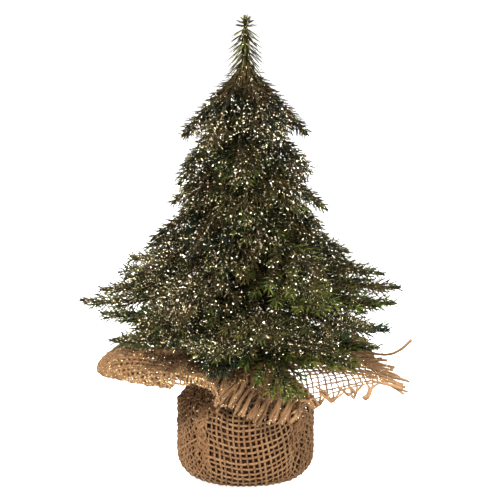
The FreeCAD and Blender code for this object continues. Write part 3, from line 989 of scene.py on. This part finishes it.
def uneven_thickness(count, loose, random):
    """A spun yarn's radius along it: slubs every few millimetres, and fuller where it is loose."""
    slubs = wandering(count, 9, 0.14, random)
    thick = YARN_R * random.uniform(0.86, 1.18) * (1 + slubs) * (1 + 0.60 * loose)
    return np.clip(thick, THIN_YARN, THICK_YARN)


def on_lobe(line, lobe):
    """1 on that corner of the collar, and 0 well away from it."""
    r, azimuth = np.hypot(line[:, 0], line[:, 1]), np.arctan2(line[:, 1], line[:, 0])
    across = np.clip(1.9 - angle_between(azimuth, lobe) / 0.55, 0, 1)
    return across * rising(line[:, 2], 40, 4) * rising(r, 22, 8)


def jute_cloth(wrap):
    place = (np.arange(YARNS) - (YARNS - 1) / 2) * PITCH
    grid = np.stack(np.meshgrid(place + OFF_CENTRE[0], place + OFF_CENTRE[1], indexing="ij"), axis=-1)
    sheet = settle(wrap, grid)
    normal = sheet_normals(sheet)
    random = np.random.default_rng(11)
    out = np.hypot(grid[..., 0], grid[..., 1])
    dusty = rising(out, DUSTY_FROM, 8) * np.clip((DUSTY_TO - out) / 12, 0.1, 1)
    yarns = Yarns()
    for way in range(2):
        # The yarns pulled out of the right edge are missing, and those out of the frayed part of the front edge
        for i in range(YARNS - FRAY) if way == 0 else range(YARNS):
            line, up, loose = yarn_line(sheet, normal, way, i, random)
            gild = dusty[i] if way == 0 else dusty[:, i]
            at = np.linspace(0, YARNS - 1, len(line))
            fine = np.interp(at, np.arange(YARNS), gild) * (1 - 0.8 * loose)
            shade = random.uniform(0.15, 0.95) + 0.15 * random.normal(0, 1, len(line))
            worn = random.uniform(0, 0.5) + 0.1 * loose + 0.6 * on_lobe(line, FLAP)
            tint = np.stack([shade, fine, worn], axis=1)
            thick = uneven_thickness(len(line), loose, random)
            thick = thick * (1 + CROWDED * on_lobe(line, LOBES[0])) * (1 - THINNED * on_lobe(line, FLAP))
            thick = np.minimum(thick, THICK_YARN)
            last = 2 * FRAY_FROM if way == 1 and i < FRAY else len(line)
            yarns.add(line[:last], up[:last], thick[:last], tint[:last])
    stray = smooth_line(np.array(STRAY_YARN), 12)
    count = len(stray)
    loose = np.linspace(0.2, 1, count)
    tint = np.stack([np.full(count, 0.6), np.zeros(count), 0.3 * loose], axis=1)
    yarns.add(stray, np.tile(UP, (count, 1)), uneven_thickness(count, loose, random), tint)
    piece = yarns.piece("jute_cloth")
    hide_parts("jute_wrap")
    return sheet


def collar_glitter(sheet):
    """Flakes of glitter that fell from the sprigs onto the collar, most of them near the neck."""
    random = np.random.default_rng(23)
    flat = sheet.reshape(-1, 3)
    r = np.hypot(flat[:, 0], flat[:, 1])
    high = np.nonzero((flat[:, 2] > 30) & (r > 20))[0]
    chance = np.clip((78 - r[high]) / 40, 0.1, 1)
    pick = random.choice(high, COLLAR_FLAKES, p=chance / chance.sum())
    spread = np.array([1, 1, 0.2])
    scatter = random.normal(0, 0.9, (COLLAR_FLAKES, 3)) * spread
    middle = flat[pick] + scatter + np.array([0, 0, YARN_R])
    points, tris = flake_mesh(middle, random)
    mesh_piece("collar_glitter", points, [tris], [FLAKES], "stand", smooth=False)


# ------------------------ hard parts


def hard_parts():
    """The parts of the CAD that keep their own meshes, but for the whorls' arms and the cap."""
    # Part: its material's name, dark and light colour, grain and roughness, and what else is its own
    looks = {
        "trunk_wire": ("wire_steel", (0.10, 0.09, 0.08), (0.24, 0.22, 0.20), 900.0, 0.45, {"metallic": 1.0}),
        "neck_tie": ("tie_wire", (0.16, 0.12, 0.09), (0.34, 0.28, 0.21), 1200.0, 0.50, {"metallic": 1.0}),
        "base_cup": ("cup_plastic", (0.014, 0.006, 0.003), (0.036, 0.016, 0.008), 160.0, 0.80, {"gloss": 0.1}),
        "cement_weight": ("cement", (0.22, 0.19, 0.16), (0.44, 0.40, 0.35), 420.0, 0.85, {"bump_mm": 0.4}),
    }
    for part, (*look, own) in looks.items():
        paint(part, speckled_material(*look, **own))
    spacer = speckled_material("spacer_plastic", (0.018, 0.012, 0.007), (0.050, 0.034, 0.018), 500.0, 0.60)
    for number in range(1, len(ARMS) + 1):
        paint(f"spacer_{number:02d}", spacer)


# ------------------------ studio


LIT_POINT = Vector((0, 0, 0.09))


def area_light(name, place, size, power, colour=(1, 1, 1)):
    data = bpy.data.lights.new(name, "AREA")
    data.shape, data.size, data.energy, data.color = "DISK", size, power, colour
    lamp = new_object(name, data)
    lamp.location = place
    lamp.rotation_euler = (LIT_POINT - Vector(place)).to_track_quat("-Z", "Y").to_euler()


def studio():
    """Pale floor, and soft light from both sides, above and behind."""
    mesh = bpy.data.meshes.new("floor")
    half = 6.0
    corners = [(-half, -half, 0), (half, -half, 0), (half, half, 0), (-half, half, 0)]
    mesh.from_pydata(corners, [], [(0, 1, 2, 3)])
    floor = new_object("floor", mesh)
    material, tree, shader = new_material("floor_paper")
    # A lit table, pale enough that the tree's shadow hardly shows on it
    feed(tree, shader, {
        "Base Color": (0.55, 0.55, 0.55, 1),
        "Roughness": 0.9,
        "Emission Color": (1, 1, 1, 1),
        "Emission Strength": 0.93,
    })
    floor.data.materials.append(material)
    area_light("key", (-0.45, -0.75, 0.80), 0.20, 40.0, (1.0, 0.98, 0.95))
    area_light("fill", (0.80, -0.60, 0.45), 0.25, 15.0)
    area_light("top", (0.05, 0.10, 0.95), 0.25, 20.0)
    area_light("rim", (0.35, 0.80, 0.50), 0.40, 8.0)
    world = bpy.data.worlds.new("studio")
    world.use_nodes = True
    # Pale near the horizon, where it stands behind the tree, and dim above, so that it flattens nothing
    tree, sky = world.node_tree, world.node_tree.nodes["Background"]
    direction = node(tree, "ShaderNodeTexCoord").outputs["Generated"]
    upward = node(tree, "ShaderNodeSeparateXYZ", {0: direction}).outputs["Z"]
    fade = {"Value": upward, "From Min": 0.16, "From Max": 0.36, "To Min": 1.0, "To Max": 0.10}
    strength = node(tree, "ShaderNodeMapRange", fade, interpolation_type="SMOOTHSTEP").outputs[0]
    feed(tree, sky, {"Color": (1, 1, 1, 1), "Strength": strength})
    bpy.context.scene.world = world
    bpy.context.scene.view_settings.view_transform = "Standard"


def camera():
    """A little above level, with the whole tree in view."""
    height = CAD_BOX[1][2]
    wide = 1.07 * height  # what the view takes in at the tree's axis
    away, rise = 1.0, math.radians(11)
    aim = Vector((0.0019, 0, 0.498 * height))
    data = bpy.data.cameras.new("camera")
    data.sensor_width = 36
    data.lens = data.sensor_width * away / wide
    made = new_object("camera", data)
    back = Vector((0, -math.cos(rise), math.sin(rise)))
    made.location = aim + back * away
    made.rotation_euler = (-back).to_track_quat("-Z", "Y").to_euler()
    bpy.context.scene.camera = made


NEEDLES, FLAKES, STEMS, JUTE = foliage_material(), flake_material(), stem_material(), jute_material()
camera()
studio()
hard_parts()
for whorl in range(1, len(ARMS) + 1):
    whorl_foliage(whorl)
tip_foliage()
collar_glitter(jute_cloth(WrapShape()))
